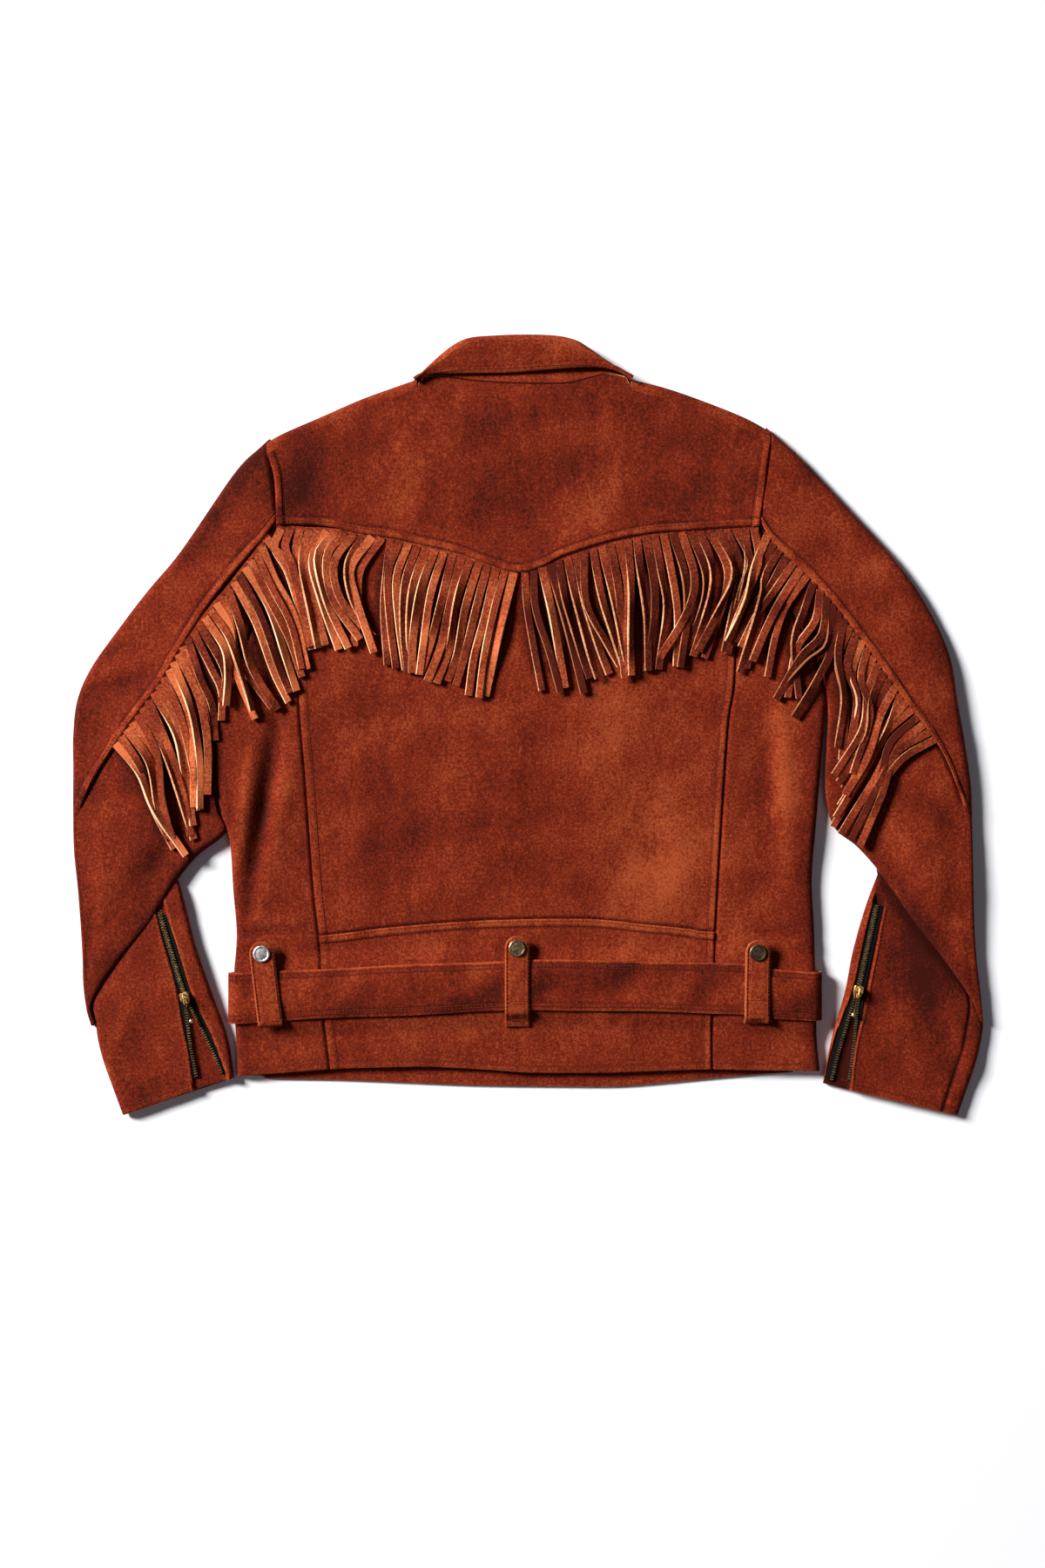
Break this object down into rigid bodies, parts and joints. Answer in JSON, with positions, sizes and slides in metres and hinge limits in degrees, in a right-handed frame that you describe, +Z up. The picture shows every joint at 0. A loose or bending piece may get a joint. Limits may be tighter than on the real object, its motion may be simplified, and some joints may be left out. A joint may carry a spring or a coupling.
{
  "type": "fringed suede jacket laid flat, back up",
  "caption": "Waist-length suede jacket laid flat with its back up, with a pointed back yoke, fringe along yoke and sleeves, a belt in loops and zipped cuffs.",
  "frame": {"origin": "middle of the jacket's outline, on the surface that it lies on", "axes": "+Z up from the surface, +X towards the right sleeve as seen from above, +Y towards the collar"},
  "size_m": [0.8251, 0.7062, 0.0217],
  "materials": {
    "suede": "napped suede, matt, mottled rust brown",
    "fringe": "napped suede with pale cut edges",
    "zip_tape": "woven black tape with dark brass teeth",
    "brass": "worn brass",
    "snap_metal": "antique plated"
  },
  "bodies": {
    "jacket": {"back_yoke": "suede", "back_centre": "suede", "back_waist": "suede", "side_back_left": "suede", "side_back_right": "suede", "front_left": "suede", "front_right": "suede", "front_placket": "suede", "collar_fall": "suede", "collar_stand": "suede", "collar_front": "suede", "belt": "suede", "belt_loop_left": "suede", "belt_loop_centre": "suede", "belt_loop_right": "suede", "top_sleeve_left": "suede", "under_sleeve_left": "suede", "top_forearm_left": "suede", "under_forearm_left": "suede", "top_sleeve_right": "suede", "under_sleeve_right": "suede", "top_forearm_right": "suede", "under_forearm_right": "suede", "yoke_fringe_left": "fringe", "yoke_fringe_right": "fringe", "sleeve_fringe_left": "fringe", "sleeve_fringe_right": "fringe", "zip_left_tape_left": "zip_tape", "zip_left_tape_right": "zip_tape", "zip_right_tape_left": "zip_tape", "zip_right_tape_right": "zip_tape", "zip_left_slider": "brass", "zip_right_slider": "brass", "snap_left": "snap_metal", "snap_centre": "snap_metal", "snap_right": "snap_metal", "snap_socket_left": "snap_metal", "snap_socket_centre": "snap_metal", "snap_socket_right": "snap_metal"},
    "pull_left": {"zip_left_pull": "brass"},
    "pull_right": {"zip_right_pull": "brass"}
  },
  "joints": [
    {"name": "pull_left_swing", "type": "hinge", "parent": "jacket", "child": "pull_left", "pos_m": [-0.31, -0.247, 0.01535], "axis": [-0.954, -0.2998, 0], "range_deg": [0, 160]},
    {"name": "pull_right_swing", "type": "hinge", "parent": "jacket", "child": "pull_right", "pos_m": [0.298, -0.241, 0.01537], "axis": [-0.9776, 0.2104, 0], "range_deg": [0, 160]}
  ]
}
